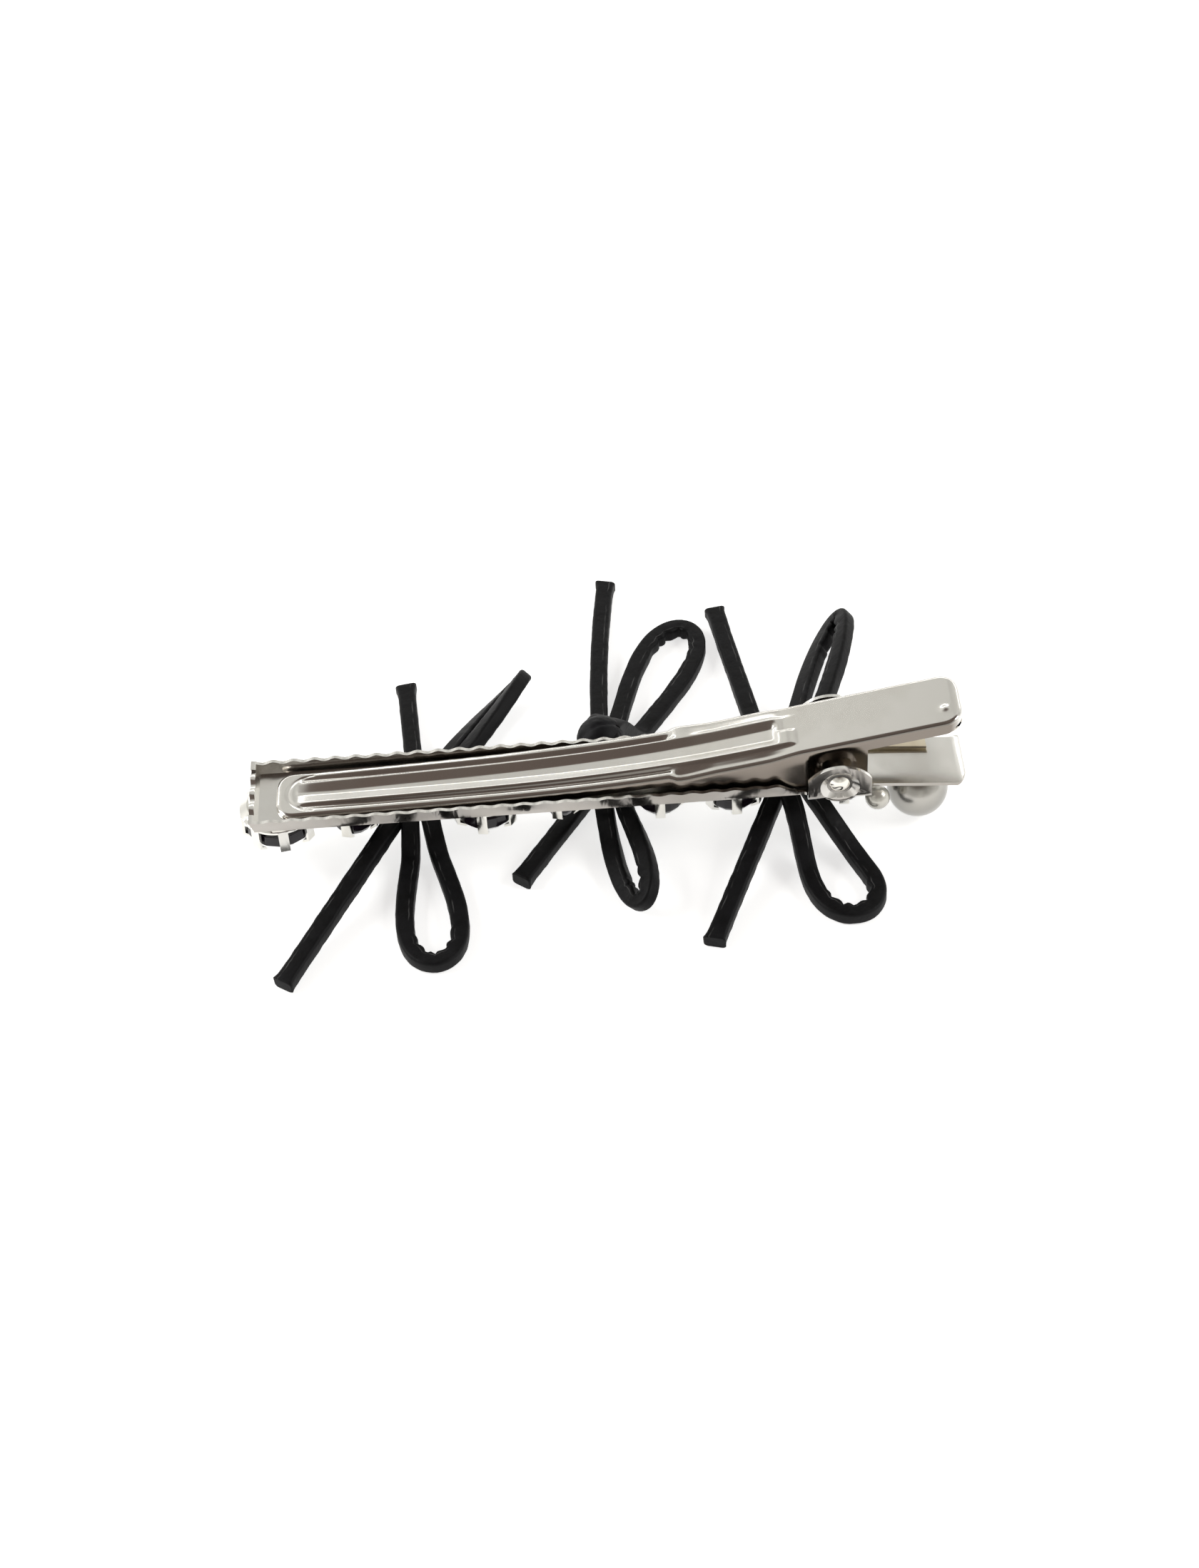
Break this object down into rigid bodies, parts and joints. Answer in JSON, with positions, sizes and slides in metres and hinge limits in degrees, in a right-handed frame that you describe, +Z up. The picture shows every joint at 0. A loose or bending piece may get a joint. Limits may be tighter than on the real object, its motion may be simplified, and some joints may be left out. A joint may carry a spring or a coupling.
{
  "type": "alligator hair clip",
  "caption": "Sprung alligator hair clip with a ribbed lever, scalloped jaw tray, claw-set faceted stones, pearls and strap bows on its front",
  "frame": {"origin": "the middle of the jaw tray's floor, where the hair is held", "axes": "X runs from the tip to the handle end, Y across the clip with the near side at -Y, Z up out of the tray floor towards the lever"},
  "size_m": [0.0766, 0.0588, 0.0159],
  "materials": {
    "plated_steel": "bright nickel plate on stamped steel sheet",
    "spring_steel": "plated spring strip",
    "black_stone": "glossy black, faceted",
    "pearl": "silvery cream, pearly",
    "strap": "matte near-black strap"
  },
  "bodies": {
    "clip": {"base_jaw": "plated_steel", "pivot_pin": "plated_steel", "spring": "spring_steel", "setting_1": "plated_steel", "setting_2": "plated_steel", "setting_3": "plated_steel", "setting_4": "plated_steel", "setting_5": "plated_steel", "setting_6": "plated_steel", "setting_7": "plated_steel", "stone_1": "black_stone", "stone_2": "black_stone", "stone_3": "black_stone", "stone_4": "black_stone", "stone_5": "black_stone", "stone_6": "black_stone", "stone_7": "black_stone", "pearl_large": "pearl", "pearl_cap": "plated_steel", "pearl_small": "pearl", "bow_1": "strap", "bow_2": "strap", "bow_3": "strap", "knot_1": "strap", "knot_2": "strap", "knot_3": "strap"},
    "lever": {"lever": "plated_steel"}
  },
  "joints": [
    {"name": "lever_pivot", "type": "hinge", "parent": "clip", "child": "lever", "pos_m": [0.024, 0, 0.0016], "axis": [0, 1, 0], "range_deg": [0, 28], "stiffness_Nm_per_rad": 0.01, "springref_deg": -20.05, "deforming": ["spring"]}
  ]
}
